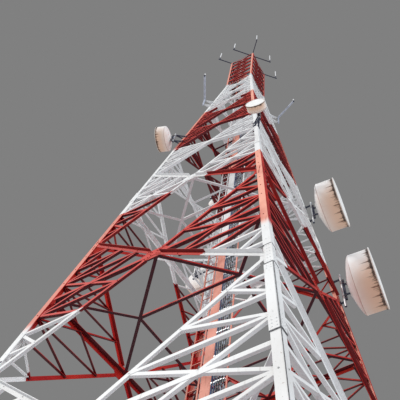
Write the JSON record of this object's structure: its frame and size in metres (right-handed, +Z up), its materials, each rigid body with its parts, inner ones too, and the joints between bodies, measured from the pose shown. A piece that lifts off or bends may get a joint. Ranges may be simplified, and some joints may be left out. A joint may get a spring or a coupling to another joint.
{
  "type": "self-supporting lattice radio tower, 1:2 scale model",
  "caption": "Square lattice radio tower with leaning angle legs, angle bracing to mid-face nodes, an upright head, a central ladder and cable rack, drum dishes on pipe mounts, booms and rod aerials.",
  "frame": {"origin": "on the ground, in the middle of the square that the undersides of the four base plates make", "axes": "+Z up the tower's axis; X and Y square to the faces, with -Y out of the front face and the large dishes facing +X"},
  "size_m": [6.365, 6.365, 29.34],
  "materials": {
    "red_paint": "weathered signal red, semi-matt",
    "white_paint": "weathered white, semi-matt",
    "galvanised_steel": "dull hot-dip galvanised",
    "dish_shell": "chalky off-white with rust streaks",
    "cable_jacket": "black jacket",
    "aerial_rod": "white glass-fibre tube"
  },
  "bodies": {
    "root": {"back_bracing_1": "red_paint", "back_bracing_2": "white_paint", "back_bracing_3": "red_paint", "back_bracing_4": "white_paint", "back_bracing_upper": "red_paint", "base_plates": "galvanised_steel", "bottom_legs": "red_paint", "cable_rack": "white_paint", "feeder_cables": "cable_jacket", "front_bracing_1": "red_paint", "front_bracing_2": "white_paint", "front_bracing_3": "red_paint", "front_bracing_4": "white_paint", "front_bracing_upper": "red_paint", "front_dish": "dish_shell", "head_arms": "galvanised_steel", "head_bracing": "red_paint", "head_joint_plates": "galvanised_steel", "head_legs": "red_paint", "ladder": "white_paint", "large_dish_mounts": "galvanised_steel", "left_bracing_1": "red_paint", "left_bracing_2": "white_paint", "left_bracing_3": "red_paint", "left_bracing_4": "white_paint", "left_bracing_upper": "red_paint", "left_dish": "dish_shell", "leg_splices": "galvanised_steel", "level_frames": "white_paint", "lower_back_dish": "dish_shell", "lower_right_dish": "dish_shell", "middle_legs": "white_paint", "right_bracing_1": "red_paint", "right_bracing_2": "white_paint", "right_bracing_3": "red_paint", "right_bracing_4": "white_paint", "right_bracing_upper": "red_paint", "rod_aerials": "aerial_rod", "side_aerials": "aerial_rod", "small_dish_mounts": "galvanised_steel", "upper_back_dish": "dish_shell", "upper_legs": "white_paint", "upper_level_beams": "red_paint", "upper_right_dish": "dish_shell"}
  },
  "joints": []
}
